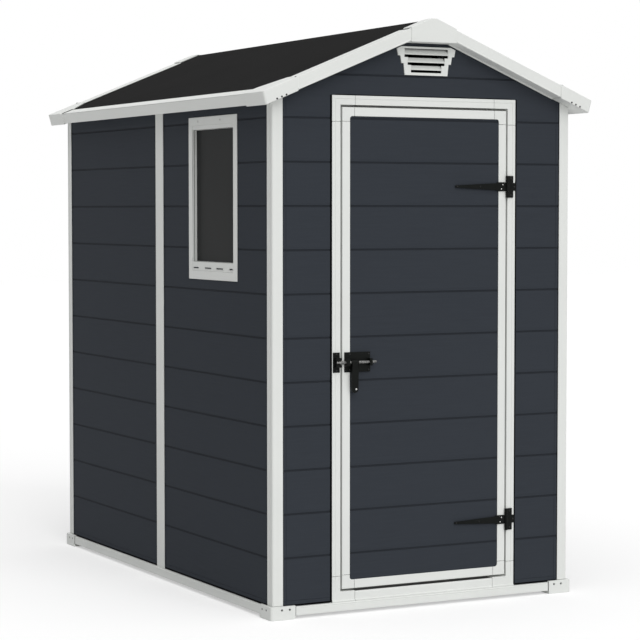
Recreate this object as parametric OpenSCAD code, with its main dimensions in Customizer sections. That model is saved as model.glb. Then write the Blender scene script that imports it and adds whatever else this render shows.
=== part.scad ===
// Resin garden shed: framed panel walls, pitched roof, one hinged door with a bolt latch,
// one fixed window and two gable vents. Front is -Y, left is -X, the ground is Z = 0.

/* [Base] */
// Width over the base rails
base_w = 1180; // [1080:10:1400]
// Depth over the base rails
base_d = 1864; // [1770:2:2300]
// How far the corner brackets hold the rails off the ground
foot_h = 10.5; // [5:0.5:12]
// Height of the base rails
rail_h = 30.5; // [26:0.5:50]
// Width of the base rails, outside to inside
rail_w = 57; // [55:1:80]
// Thickness of the floor panel
floor_t = 20; // [12:1:30]
// Height of the corner brackets above the base rails
bracket_up = 4.5; // [1:0.5:12]
// Thickness of the corner brackets outside the rails
bracket_t = 3; // [2:0.5:5]
// Rounding of a bracket's outer corner
bracket_r = 9; // [4:0.5:12]
// Reach of a bracket along the front or back rail
bracket_front = 91; // [60:1:130]
// Reach of a bracket along a side rail
bracket_side = 87; // [60:1:130]

/* [Walls] */
// Step from the rail's face in to the faces of posts and frames
rail_step = 8; // [6:0.5:14]
// Thickness of posts and frames outside the wall panels
trim_t = 3; // [2.5:0.5:6]
// Thickness of the wall panels
wall_t = 18; // [12:1:26]
// Width of a corner post on the front and back
post_w = 39; // [30:1:60]
// Width of a corner post on the sides
post_side_w = 40; // [30:1:60]
// Rounding of a corner post's outer edge
post_r = 7; // [3:0.5:7.5]
// Width of the middle post of each side wall
mid_post_w = 67; // [50:1:100]

/* [Doorway] */
// Width of the door leaf
leaf_w = 643; // [600:1:700]
// Height of the door leaf
leaf_h = 1611; // [1500:1:1800]
// Thickness of the leaf's rim
leaf_t = 30; // [27:1:34]
// Thickness of the leaf's panel
panel_t = 14; // [8:1:18]
// Width of the rim's stiles and rails
rim_w = 29.5; // [24:0.5:40]
// Rounding of the rim's inner corners
rim_r = 9; // [3:1:14]
// Gap between the leaf and each jamb
side_gap = 6.5; // [5.5:0.1:8]
// Gap between the leaf and the head
top_gap = 7.5; // [5.5:0.5:10]
// Gap between the leaf and the sill
sill_gap = 8; // [5.5:0.5:10]
// Gap between the leaf and the stop behind it
stop_gap = 6; // [5.5:0.5:8]
// Width of the jambs and height of the head
jamb_w = 31.5; // [26:1:45]
// Height of the sill above the base rail
sill_h = 35; // [24:1:48]
// Height of the sill's lower band
sill_band_h = 5.5; // [4:0.5:16]
// Thickness of the sill's lower band outside the frame
sill_band_t = 3; // [1:0.5:6]
// Projection of the stop into the doorway
stop_w = 17; // [12:1:26]
// Thickness of the stop
stop_t = 12; // [8:1:13]
// Length of the frame's corner pieces, measured from the frame's outer corner
frame_corner = 87; // [70:1:120]
// Length of the leaf's corner pieces, measured from the leaf's outer corner
leaf_corner = 47; // [44:1:80]

/* [Roof] */
// Pitch of the roof in degrees
pitch = 22.35; // [18:0.05:24]
// Height of the gable panels where they meet the side walls
gable_side = 13; // [6:1:120]
// Reach of the roof's corner pieces past the base on each side
side_overhang = 53; // [40:1:80]
// Reach of the roof's corner pieces past the base at each end
end_overhang = 47; // [36:1:80]
// Thickness of the roof panels
roof_t = 20; // [12:1:24]
// Clearance between the trims' faces and the roof panels and eave soffits behind them
roof_gap = 0.5; // [0.2:0.1:2]
// Height of the trim above the roof surface
lip_h = 3; // [2:0.5:8]
// Height of the trim's face, square to the slope
fascia_h = 39; // [35:0.5:50]
// Thickness of the trim's face
fascia_t = 12; // [8:1:16]
// Width of a rake trim's flange over the roof surface
rake_flange_w = 75; // [40:1:90]
// Width of an eave trim's flange over the roof surface
eave_flange_w = 48; // [30:1:60]
// Thickness of the flange under the overhang
soffit_t = 5; // [3:0.5:7]
// How far corner pieces and apex caps stand outside the trim
cap_proud = 3; // [1:0.5:4]
// Length of a roof corner piece along the rake, from the roof's outer edge
rake_corner = 131; // [105:1:160]
// Length of a roof corner piece along the eave, from the roof's outer edge
eave_corner = 147; // [105:1:200]
// Half width of the apex cap
apex_half_w = 88; // [75:1:110]
// Height of the apex cap's flat top above the ridge
apex_top = 2; // [1:0.5:3]
// Depth of the ridge beam below the roof panels
beam_h = 60; // [40:1:80]
// Width of the ridge beam
beam_w = 40; // [30:1:60]

/* [Window] */
// Width of the window frame
win_w = 395; // [340:1:480]
// Height of the window frame
win_h = 567; // [460:1:600]
// Distance from the top of the side wall down to the window frame
win_drop = 56; // [40:1:120]
// Width of the frame beside the pane
win_side = 32; // [24:1:50]
// Width of the frame above the pane
win_top = 45; // [30:1:60]
// Height of the frame below the pane
win_bottom = 63; // [40:1:80]
// Depth of the pane behind the frame's face
pane_depth = 17.5; // [12:0.5:19]
// Thickness of the pane
pane_t = 4; // [3:0.5:6]
// Thickness of the sleeve that lines the hole in the wall
sleeve_t = 8; // [5:1:12]
// How far the sleeve reaches past the wall into the room
sleeve_in = 3; // [1:0.5:6]

/* [Gable vent] */
// Distance from the ridge down to the vent's top
vent_drop = 90; // [88:1:110]
// Half width of the top tier
vent_half_w = 114; // [100:1:118]
// How much narrower each tier is than the one above, on each side
vent_step = 13; // [8:1:18]
// Heights of the three tiers from the top
vent_tiers = [31, 26, 39];
// Distance that the vent stands outside the wall panel
vent_t = 6; // [4:1:14]
// Height of the slots
slot_h = 8; // [5:1:12]
// Distance from the end of a slot to the side of its tier
slot_in = 30; // [20:1:40]
// Height of the lowest slot above the vent's lower edge
slot_low = 14; // [10:1:20]

/* [Hinges] */
// Distance from the leaf's lower edge up to the lower hinge
hinge_low = 193; // [120:1:300]
// Distance from the leaf's upper edge down to the upper hinge
hinge_high = 261; // [120:1:320]
// Height of a hinge plate
plate_h = 75; // [66:1:90]
// Height of the strap at its root
strap_h = 31; // [26:1:36]
// Length of the strap from the pin to its tip
strap_l = 209; // [150:1:260]
// Length of the strap's full height, from the pin
strap_root = 41; // [30:1:60]
// Reach of a hinge plate's tab past the pin
tab_l = 36; // [30:1:38]
// Height of the strap's tip
tip_h = 8; // [6:1:14]
// Thickness of plates and straps
iron_t = 4; // [3:0.5:5]
// Radius of the knuckles
knuckle_r = 6; // [5.5:0.1:6.2]
// Radius of the hinge pin
pin_r = 2.5; // [2:0.1:3.5]

/* [Latch] */
// Height of the bolt above the leaf's lower edge
bolt_up = 762; // [620:1:920]
// Radius of the bolt
bolt_r = 5; // [4:0.5:5.5]
// Length of the bolt
bolt_l = 151; // [146:1:170]
// How far the bolt reaches past the leaf's edge
bolt_throw = 29; // [24:1:30]
// Height of the latch plates
latch_h = 67; // [50:1:80]
// Length of the plate on the leaf
latch_l = 98; // [96:1:110]
// Distance of the latch plate from the leaf's edge
latch_in = 7; // [4:1:10]
// Thickness of the latch plates
latch_t = 3; // [2:0.5:4]
// Radius of the handle's collar
collar_r = 8; // [7:0.5:9]
// Width of the handle
handle_w = 28; // [20:1:28]
// Reach of the handle below the bolt
handle_l = 102; // [70:1:120]
// Running clearance around pins and the bolt
fit_gap = 0.3; // [0.2:0.05:0.5]

/* [Hidden] */
$fn = 64;

// Colours
white = [0.89, 0.9, 0.89];
dark = [0.22, 0.235, 0.25];
roofing = [0.17, 0.17, 0.17];
iron = [0.11, 0.12, 0.11];
smoke = [0.2, 0.2, 0.19];

// Faces of the walls and trims
rail_top = foot_h + rail_h;
bracket_top = rail_top + bracket_up;
face_x = base_w / 2 - rail_step;
face_y = base_d / 2 - rail_step;
wall_x = face_x - trim_t;
wall_y = face_y - trim_t;
in_x = wall_x - wall_t;
in_y = wall_y - wall_t;
cut = 1;

// Doorway
leaf_x = leaf_w / 2;
open_x = leaf_x + side_gap;
frame_x = open_x + jamb_w;
sill_z = rail_top + sill_h;
leaf_z = sill_z + sill_gap;
leaf_top = leaf_z + leaf_h;
head_z = leaf_top + top_gap;
frame_z = head_z + jamb_w;
leaf_back = -face_y + leaf_t;
stop_y = leaf_back + stop_gap;
frame_back = stop_y + stop_t;
groove = 13;
wall_end = frame_x - groove;
gable_z = frame_z - groove;
panel_y = -wall_y;
panel_in = 10;

// Roof, in coordinates along the slope (u) and square to it (w)
under_w = -roof_t;
side_z = gable_z + gable_side;
ridge_z = side_z + wall_x * tan(pitch) - under_w / cos(pitch);
function roof_pt(u, w) = [u * cos(pitch) + w * sin(pitch), ridge_z - u * sin(pitch) + w * cos(pitch)];
function plane_pt(x, w) = [x, ridge_z + w / cos(pitch) - x * tan(pitch)];
function plane_z(x, w) = plane_pt(x, w)[1];
function plane_u(x, w) = (x - w * sin(pitch)) / cos(pitch);
lip_w = lip_h;
drip_w = lip_h - fascia_h;
cap_lip_w = lip_w + cap_proud;
cap_drip_w = drip_w - cap_proud;
roof_x = base_w / 2 + side_overhang;
roof_y = base_d / 2 + end_overhang;
rake_y = roof_y - cap_proud;
cap_u = plane_u(roof_x, cap_lip_w);
eave_u = cap_u - cap_proud;
seam_x = roof_x - rake_corner;
seam_y = roof_y - eave_corner;

// Window, centred between the middle post and the corner post
win_y = -(mid_post_w / 2 + face_y - post_side_w) / 2;
win_z = side_z - win_drop - win_h;

// Hinge and latch
hinge_z = [leaf_z + hinge_low, leaf_top - hinge_high];
bolt_z = leaf_z + bolt_up;
pin_x = leaf_x + side_gap / 2;
pin_y = -face_y - knuckle_r;
knuckle_gap = 1;
latch_face = -face_y - latch_t;
bolt_y = latch_face - collar_r - 2;
bolt_x0 = -leaf_x - bolt_throw;
latch_x = -leaf_x + latch_in;
guide_l = 13;
guide_wall = 3;

// A box from its lowest to its highest corner
module block(a, b) {
    translate(a) cube(b - a);
}

// The shape drawn in X and Z, carried along Y
module along_y(y0, y1) {
    translate([0, y1, 0]) rotate([90, 0, 0]) linear_extrude(y1 - y0) children();
}

// A rod or bore along X
module along_x(x0, x1, y, z, r) {
    translate([x0, y, z]) rotate([0, 90, 0]) cylinder(r = r, h = x1 - x0);
}

// The same shape on the left and the right
module both_sides() {
    children();
    mirror([1, 0, 0]) children();
}

// The same shape at the front and the back
module both_ends() {
    children();
    mirror([0, 1, 0]) children();
}

// A square column at the front right, whose outer corner is rounded
module corner_column(x, y, reach_x, reach_y, r, z0, z1) {
    block([x - reach_x, -y, z0], [x - r, -y + reach_y, z1]);
    block([x - reach_x, -y + r, z0], [x, -y + reach_y, z1]);
    translate([x - r, -y + r, z0]) cylinder(r = r, h = z1 - z0);
}

// A sloping slab of the right half roof between two ends square to the slope
module slope_slab(u0, u1, w0, w1, y0, y1) {
    along_y(y0, y1) polygon([roof_pt(u0, w1), roof_pt(u1, w1), roof_pt(u1, w0), roof_pt(u0, w0)]);
}

// A sloping strip of the right half roof between two upright ends
module slope_strip(x0, x1, w0, w1, y0, y1) {
    along_y(y0, y1) polygon([plane_pt(x0, w1), plane_pt(x1, w1), plane_pt(x1, w0), plane_pt(x0, w0)]);
}

// A sloping plate of the right half roof from an upright end to an outer end square to the slope
module slope_plate(x0, u1, w0, w1, y0, y1) {
    along_y(y0, y1) polygon([plane_pt(x0, w1), roof_pt(u1, w1), roof_pt(u1, w0), plane_pt(x0, w0)]);
}

// ---- Base ----

module floor() {
    color(dark) block([-base_w / 2 + rail_w, -base_d / 2 + rail_w, 0],
        [base_w / 2 - rail_w, base_d / 2 - rail_w, floor_t]);
}

module base_rails_ends() {
    color(white) both_ends()
        block([-base_w / 2, -base_d / 2, foot_h], [base_w / 2, -base_d / 2 + rail_w, rail_top]);
}

module base_rails_sides() {
    color(white) both_sides()
        block([base_w / 2 - rail_w, -base_d / 2 + rail_w, foot_h],
            [base_w / 2, base_d / 2 - rail_w, rail_top]);
}

module base_corners() {
    color(white) both_sides() both_ends() difference() {
        corner_column(base_w / 2 + bracket_t, base_d / 2 + bracket_t, bracket_front, bracket_side, bracket_r,
            0, bracket_top);
        // the rails, the floor and the walls
        block([0, -base_d / 2, foot_h], [base_w / 2, 0, rail_top]);
        block([0, -base_d / 2 + rail_w, -cut], [base_w / 2 - rail_w, 0, bracket_top + cut]);
        block([0, -face_y, foot_h], [face_x, 0, bracket_top + cut]);
    }
}

// ---- Posts ----

module corner_posts() {
    low_w = cap_drip_w;
    color(white) both_sides() both_ends() difference() {
        intersection() {
            corner_column(face_x, face_y, post_w, post_side_w, post_r, rail_top, ridge_z);
            // sloping top, under the roof's corner piece
            along_y(-face_y - cut, 0)
                polygon([[0, 0], [face_x + cut, 0], plane_pt(face_x + cut, low_w), plane_pt(0, low_w)]);
        }
        block([0, -wall_y, 0], [wall_x, 0, ridge_z]);
    }
}

module side_posts() {
    color(white) both_sides() along_y(-mid_post_w / 2, mid_post_w / 2)
        polygon([[wall_x, rail_top], [face_x, rail_top], plane_pt(face_x, drip_w), plane_pt(wall_x, drip_w)]);
}

// ---- Walls ----

// A wall panel beside the doorway, up to the roof
module front_panel() {
    along_y(-wall_y, -in_y)
        polygon([[wall_end, rail_top], [wall_x, rail_top], plane_pt(wall_x, under_w),
            plane_pt(wall_end, under_w)]);
}

// A wall panel over the doorway's height and up to the ridge, to a distance on each side
module gable_panel(half_w) {
    end_z = plane_z(half_w, under_w);
    along_y(-wall_y, -in_y)
        polygon([[-half_w, gable_z], [half_w, gable_z], [half_w, end_z], plane_pt(0, under_w),
            [-half_w, end_z]]);
}

// A side wall panel between two distances along Y, on the right side
module side_panel(y0, y1) {
    along_y(y0, y1)
        polygon([[in_x, rail_top], [wall_x, rail_top], plane_pt(wall_x, under_w), plane_pt(in_x, under_w)]);
}

// The hole behind a gable vent
module vent_hole() {
    hole_x = vent_half_w - 2 * vent_step - slot_in;
    block([-hole_x, -wall_y - cut, tier_z(3) + slot_low - slot_h], [hole_x, -in_y + cut, tier_z(1) + slot_h]);
}

module front_wall_left() {
    color(dark) mirror([1, 0, 0]) front_panel();
}

module front_wall_right() {
    color(dark) front_panel();
}

module front_gable() {
    color(dark) difference() {
        gable_panel(wall_end);
        vent_hole();
    }
}

module left_wall_front() {
    color(dark) difference() {
        mirror([1, 0, 0]) side_panel(-in_y, 0);
        block([-wall_x - cut, win_y - win_w / 2 + win_side - sleeve_t, win_z + win_bottom - sleeve_t],
            [-in_x + cut, win_y + win_w / 2 - win_side + sleeve_t, win_z + win_h - win_top + sleeve_t]);
    }
}

module left_wall_back() {
    color(dark) mirror([1, 0, 0]) side_panel(0, in_y);
}

module right_wall_front() {
    color(dark) side_panel(-in_y, 0);
}

module right_wall_back() {
    color(dark) side_panel(0, in_y);
}

module back_wall() {
    color(dark) block([-wall_x, in_y, rail_top], [wall_x, wall_y, gable_z]);
}

module back_gable() {
    color(dark) mirror([0, 1, 0]) difference() {
        gable_panel(wall_x);
        vent_hole();
    }
}

// ---- Roof ----

module roof_panel() {
    end_y = rake_y - fascia_t - roof_gap;
    slope_plate(0, eave_u - fascia_t - roof_gap, under_w, 0, -end_y, end_y);
}

module roof_left() {
    color(roofing) mirror([1, 0, 0]) roof_panel();
}

module roof_right() {
    color(roofing) roof_panel();
}

module ridge_beam() {
    top = plane_z(0, under_w);
    shoulder = plane_z(beam_w / 2, under_w);
    color(white) along_y(-in_y, in_y)
        polygon([[-beam_w / 2, top - beam_h], [beam_w / 2, top - beam_h], [beam_w / 2, shoulder], [0, top],
            [-beam_w / 2, shoulder]]);
}

// The trim along one rake of the front: face, flange over the roof and soffit under it
module rake_trim() {
    slope_strip(apex_half_w, seam_x, drip_w, lip_w, -rake_y, -rake_y + fascia_t);
    slope_strip(apex_half_w, seam_x, 0, lip_w, -rake_y, -rake_y + rake_flange_w);
    slope_strip(apex_half_w, seam_x, drip_w, drip_w + soffit_t, -rake_y, -wall_y);
}

module rake_trims_front() {
    color(white) both_sides() rake_trim();
}

module rake_trims_back() {
    color(white) mirror([0, 1, 0]) both_sides() rake_trim();
}

module eave_trims() {
    color(white) both_sides() {
        slope_slab(eave_u - fascia_t, eave_u, drip_w, lip_w, -seam_y, seam_y);
        slope_slab(eave_u - eave_flange_w, eave_u, 0, lip_w, -seam_y, seam_y);
    }
}

module eave_soffits() {
    color(white) both_sides()
        slope_plate(wall_x, eave_u - fascia_t - roof_gap, drip_w, drip_w + soffit_t, -seam_y, seam_y);
}

// One roof corner piece, at the front right, with a gusset between its two flanges
module roof_corner() {
    inner_y = -rake_y + fascia_t;
    open_x = roof_pt(eave_u - eave_flange_w, 0)[0];
    difference() {
        slope_plate(seam_x, cap_u, cap_drip_w, cap_lip_w, -roof_y, -seam_y);
        // room for the roof panel and the walls
        slope_slab(0, eave_u - fascia_t, drip_w + soffit_t, 0, inner_y, 0);
        block([0, -wall_y, 0], [wall_x, 0, ridge_z]);
        // the open side of the gusset
        intersection() {
            slope_slab(0, cap_u, -cut, 2 * cap_lip_w, -roof_y, 0);
            linear_extrude(2 * ridge_z)
                polygon([[seam_x, -rake_y + rake_flange_w], [open_x, -seam_y], [open_x, 0], [0, 0],
                    [0, -rake_y + rake_flange_w]]);
        }
    }
}

module roof_corners() {
    color(white) both_sides() both_ends() roof_corner();
}

module apex_cap() {
    base_z = plane_z(apex_half_w, cap_drip_w);
    end_z = plane_z(apex_half_w, cap_lip_w);
    top_z = ridge_z + apex_top;
    top_x = (plane_z(0, cap_lip_w) - top_z) / tan(pitch);
    open_x = apex_half_w + cut;
    difference() {
        along_y(-roof_y, -wall_y)
            polygon([[-apex_half_w, base_z], [apex_half_w, base_z], [apex_half_w, end_z], [top_x, top_z],
                [-top_x, top_z], [-apex_half_w, end_z]]);
        // the space above the soffit, up to the roof panels
        along_y(-rake_y + fascia_t, 0)
            polygon([[-open_x, base_z + soffit_t], [open_x, base_z + soffit_t], plane_pt(open_x, 0),
                plane_pt(0, 0), [-open_x, plane_z(open_x, 0)]]);
        block([-open_x, -rake_y + rake_flange_w, plane_z(apex_half_w, under_w)],
            [open_x, 0, ridge_z + cap_lip_w]);
    }
}

module apex_caps() {
    color(white) both_ends() apex_cap();
}

// ---- Door frame ----

// The whole fixed frame, later divided into its pieces
module frame_ring() {
    difference() {
        union() {
            block([-frame_x, -face_y, rail_top], [frame_x, frame_back, frame_z]);
            block([-frame_x, -face_y - sill_band_t, rail_top], [frame_x, -face_y, rail_top + sill_band_h]);
        }
        block([-open_x, -base_d, sill_z], [open_x, stop_y, head_z]);
        block([-open_x + stop_w, -face_y, sill_z + stop_w],
            [open_x - stop_w, frame_back + cut, head_z - stop_w]);
        // the grooves that hold the wall panels
        both_sides() block([wall_end, -wall_y, 0], [frame_x + cut, -in_y, frame_z + cut]);
        block([-wall_end, -wall_y, gable_z], [wall_end, -in_y, frame_z + cut]);
    }
}

// The part of the frame between two corners of a box in X and Z
module frame_piece(x0, z0, x1, z1) {
    intersection() {
        frame_ring();
        block([x0, -base_d, z0], [x1, base_d, z1]);
    }
}

corner_x = frame_x - frame_corner;
corner_low = rail_top + frame_corner;
corner_high = frame_z - frame_corner;

module frame_jambs() {
    color(white) both_sides() frame_piece(0, corner_low, frame_x, corner_high);
}

module frame_head() {
    color(white) frame_piece(-corner_x, head_z - stop_w, corner_x, frame_z);
}

module frame_sill() {
    color(white) frame_piece(-corner_x, rail_top, corner_x, sill_z + stop_w);
}

module frame_corners() {
    color(white) both_sides() {
        frame_piece(corner_x, rail_top, frame_x, corner_low);
        frame_piece(corner_x, corner_high, frame_x, frame_z);
    }
}

// ---- Door leaf ----

module rounded_plate(x, z0, z1, y0, y1, r) {
    along_y(y0, y1) union() {
        translate([-x + r, z0]) square([2 * (x - r), z1 - z0]);
        translate([-x, z0 + r]) square([2 * x, z1 - z0 - 2 * r]);
        for (i = [-1, 1], z = [z0 + r, z1 - r]) translate([i * (x - r), z]) circle(r);
    }
}

module panel_body() {
    block([-leaf_x + panel_in, panel_y, leaf_z + panel_in],
        [leaf_x - panel_in, panel_y + panel_t, leaf_top - panel_in]);
}

// The whole rim of the leaf, later divided into its pieces
module rim_ring() {
    difference() {
        block([-leaf_x, -face_y, leaf_z], [leaf_x, leaf_back, leaf_top]);
        rounded_plate(leaf_x - rim_w, leaf_z + rim_w, leaf_top - rim_w, -face_y - cut, leaf_back + cut,
            rim_r);
        panel_body();
    }
}

// The part of the rim between two corners of a box in X and Z
module rim_piece(x0, z0, x1, z1) {
    intersection() {
        rim_ring();
        block([x0, -base_d, z0], [x1, base_d, z1]);
    }
}

rim_x = leaf_x - leaf_corner;
rim_low = leaf_z + leaf_corner;
rim_high = leaf_top - leaf_corner;

module door_panel() {
    color(dark) panel_body();
}

module door_stiles() {
    color(white) both_sides() rim_piece(0, rim_low, leaf_x, rim_high);
}

module door_rails() {
    color(white) {
        rim_piece(-rim_x, leaf_z, rim_x, leaf_z + rim_w);
        rim_piece(-rim_x, leaf_top - rim_w, rim_x, leaf_top);
    }
}

module door_corners() {
    color(white) both_sides() {
        rim_piece(rim_x, leaf_z, leaf_x, rim_low);
        rim_piece(rim_x, rim_high, leaf_x, leaf_top);
    }
}

// ---- Hinges ----

// A fixed plate with the two outer knuckles and the pin, about the pin's middle
module hinge_plate() {
    plate_l = 25;
    tab_h = 27;
    web_l = 2;
    mid_h = strap_h + 2 * knuckle_gap;
    difference() {
        union() {
            block([0, knuckle_r - iron_t, -plate_h / 2], [plate_l, knuckle_r, plate_h / 2]);
            block([0, knuckle_r - iron_t, -tab_h / 2], [tab_l, knuckle_r, tab_h / 2]);
            translate([0, 0, -plate_h / 2]) cylinder(r = knuckle_r, h = plate_h);
        }
        block([-2 * knuckle_r, -2 * knuckle_r, -mid_h / 2], [knuckle_r + web_l, 2 * knuckle_r, mid_h / 2]);
    }
    translate([0, 0, -plate_h / 2]) cylinder(r = pin_r, h = plate_h);
}

module hinge_plates() {
    color(iron) for (z = hinge_z) translate([pin_x, pin_y, z]) hinge_plate();
}

// A tapered strap with its knuckle, and the spacers that seat it on the panel
module hinge_strap() {
    tip_x = -strap_l + tip_h / 2;
    neck_h = 0.8 * strap_h;
    spacers = [0.52, 0.95];
    spacer_r = tip_h / 2 - 0.5;
    difference() {
        union() {
            along_y(knuckle_r - iron_t, knuckle_r) {
                polygon([[0, -strap_h / 2], [0, strap_h / 2], [-strap_root, strap_h / 2],
                    [-strap_root, neck_h / 2], [tip_x, tip_h / 2], [tip_x, -tip_h / 2],
                    [-strap_root, -neck_h / 2], [-strap_root, -strap_h / 2]]);
                translate([tip_x, 0]) circle(tip_h / 2);
            }
            translate([0, 0, -strap_h / 2]) cylinder(r = knuckle_r, h = strap_h);
            for (part = spacers) along_y(knuckle_r, knuckle_r + trim_t)
                translate([-strap_l * part, 0]) circle(spacer_r);
        }
        translate([0, 0, -strap_h]) cylinder(r = pin_r + fit_gap, h = 2 * strap_h);
    }
}

module hinge_straps() {
    color(iron) for (z = hinge_z) translate([pin_x, pin_y, z]) hinge_strap();
}

// ---- Latch ----

// The plate on the jamb, with an open-fronted pair of ears over and under the bolt
module latch_keeper() {
    edge = 2;
    inset = 4;
    lobe_l = 5;
    lobe_h = 11;
    lobe_tip_h = 4;
    ear_in = 4;
    ear_gap = bolt_r + 2;
    ear_h = 9;
    x0 = -frame_x + edge;
    x1 = -open_x - inset;
    color(iron) translate([0, 0, bolt_z]) {
        along_y(latch_face, -face_y)
            polygon([[x0, -latch_h / 2], [x1, -latch_h / 2], [x1, -lobe_h], [x1 + lobe_l, -lobe_tip_h],
                [x1 + lobe_l, lobe_tip_h], [x1, lobe_h], [x1, latch_h / 2], [x0, latch_h / 2]]);
        for (z = [ear_gap, -ear_gap - ear_h])
            block([x0 + ear_in, bolt_y - bolt_r, z], [x1, latch_face, z + ear_h]);
    }
}

// The plate on the leaf, with its two guides and the packing that seats it on the panel
module latch_plate() {
    far_guide_l = 10;
    guide_h = 2 * bolt_r + 14;
    guide_y = bolt_y - bolt_r - guide_wall;
    packing_h = 2 * latch_h / 3;
    x1 = latch_x + latch_l;
    color(iron) difference() {
        translate([0, 0, bolt_z]) {
            block([latch_x, latch_face, -latch_h / 2], [x1, -face_y, latch_h / 2]);
            block([-leaf_x + rim_w + cut, -face_y, -packing_h / 2],
                [x1 - guide_wall, -wall_y, packing_h / 2]);
            block([latch_x, guide_y, -guide_h / 2], [latch_x + guide_l, latch_face, guide_h / 2]);
            block([x1 - far_guide_l, guide_y, -guide_h / 2], [x1, latch_face, guide_h / 2]);
        }
        along_x(latch_x - cut, x1 + cut, bolt_y, bolt_z, bolt_r + fit_gap);
    }
}

module latch_bolt() {
    color(iron) along_x(bolt_x0, bolt_x0 + bolt_l, bolt_y, bolt_z, bolt_r);
}

// The lever that hangs from its collar on the bolt
module latch_handle() {
    lever_t = 8;
    shoulder = 2;
    lever_r = handle_w / 2 - shoulder;
    x0 = latch_x + guide_l + 5;
    x1 = x0 + handle_w;
    color(iron) difference() {
        union() {
            along_x(x0, x1, bolt_y, bolt_z, collar_r);
            translate([x0 + handle_w / 2, 0, bolt_z - handle_l])
                along_y(bolt_y - collar_r, bolt_y - collar_r + lever_t) {
                    translate([-lever_r, lever_r]) square([2 * lever_r, handle_l - lever_r]);
                    translate([0, lever_r]) circle(lever_r);
                }
        }
        along_x(x0 - cut, x1 + cut, bolt_y, bolt_z, bolt_r + fit_gap);
    }
}

// ---- Window and vents ----

module window_frame() {
    y0 = win_y - win_w / 2;
    y1 = win_y + win_w / 2;
    z1 = win_z + win_h;
    room_x = in_x - sleeve_in;
    color(white) difference() {
        union() {
            block([-face_x, y0, win_z], [-wall_x, y1, z1]);
            block([-wall_x, y0 + win_side - sleeve_t, win_z + win_bottom - sleeve_t],
                [-room_x, y1 - win_side + sleeve_t, z1 - win_top + sleeve_t]);
        }
        block([-face_x - cut, y0 + win_side, win_z + win_bottom],
            [-room_x + cut, y1 - win_side, z1 - win_top]);
    }
}

module window_pane() {
    color(smoke) block([-face_x + pane_depth, win_y - win_w / 2 + win_side, win_z + win_bottom],
        [-face_x + pane_depth + pane_t, win_y + win_w / 2 - win_side, win_z + win_h - win_top]);
}

// Height of the top of a vent's tier, counted from 0 at the top
function tier_z(i) = i == 0 ? ridge_z - vent_drop : tier_z(i - 1) - vent_tiers[i - 1];

// One gable vent in three stepped tiers, with a slot near the foot of each
module vent() {
    ease = 4.5;
    shoulder = 18;
    tier_step = 1;
    front = -wall_y - vent_t;
    difference() {
        for (i = [0:2]) {
            half = vent_half_w - i * vent_step;
            bevel = i == 0 ? shoulder : 0;
            along_y(front + i * tier_step, -wall_y)
                polygon([[ease - half, tier_z(i + 1)], [half - ease, tier_z(i + 1)],
                    [half, tier_z(i) - bevel * tan(pitch)], [half - bevel, tier_z(i)],
                    [bevel - half, tier_z(i)], [-half, tier_z(i) - bevel * tan(pitch)]]);
        }
        for (i = [0:2]) {
            half = vent_half_w - i * vent_step - slot_in;
            z = i < 2 ? tier_z(i + 1) : tier_z(3) + slot_low;
            block([-half, front - cut, z - slot_h / 2], [half, -wall_y + cut, z + slot_h / 2]);
        }
    }
}

module vents() {
    color(white) both_ends() vent();
}

floor();
base_rails_ends();
base_rails_sides();
base_corners();
corner_posts();
side_posts();
front_wall_left();
front_wall_right();
front_gable();
left_wall_front();
left_wall_back();
right_wall_front();
right_wall_back();
back_wall();
back_gable();
roof_left();
roof_right();
ridge_beam();
rake_trims_front();
rake_trims_back();
eave_trims();
eave_soffits();
apex_caps();
roof_corners();
frame_jambs();
frame_head();
frame_sill();
frame_corners();
door_panel();
door_stiles();
door_rails();
door_corners();
hinge_plates();
hinge_straps();
latch_keeper();
latch_plate();
latch_bolt();
latch_handle();
window_frame();
window_pane();
vents();
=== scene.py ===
import math

import bmesh
import bpy
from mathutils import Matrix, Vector


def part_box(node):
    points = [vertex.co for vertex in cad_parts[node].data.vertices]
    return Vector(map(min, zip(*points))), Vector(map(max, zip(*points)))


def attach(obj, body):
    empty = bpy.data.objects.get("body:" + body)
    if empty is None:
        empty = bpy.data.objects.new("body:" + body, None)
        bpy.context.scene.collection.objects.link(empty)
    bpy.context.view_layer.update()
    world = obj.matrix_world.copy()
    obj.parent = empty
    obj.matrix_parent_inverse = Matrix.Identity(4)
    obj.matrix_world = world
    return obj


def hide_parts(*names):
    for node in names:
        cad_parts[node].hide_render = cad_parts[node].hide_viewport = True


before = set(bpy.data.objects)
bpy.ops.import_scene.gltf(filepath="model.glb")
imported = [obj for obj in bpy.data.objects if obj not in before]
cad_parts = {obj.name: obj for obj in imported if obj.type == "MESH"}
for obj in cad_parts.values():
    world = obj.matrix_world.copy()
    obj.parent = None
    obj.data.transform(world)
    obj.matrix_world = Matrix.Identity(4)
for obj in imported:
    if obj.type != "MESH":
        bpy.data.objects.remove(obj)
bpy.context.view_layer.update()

bl_info = {
    "name": "Garden shed",
    "version": (1, 0, 0),
    "blender": (4, 5, 0),
    "location": "View3D > Sidebar > Shed",
    "description": "Dresses the packed shed with boards, trims, ironwork and a plain stage",
    "category": "Object",
}

SIDES = LEFT, RIGHT = -1, 1
ENDS = FRONT, BACK = -1, 1
CORNERS = [(side, end) for side in SIDES for end in ENDS]

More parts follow.
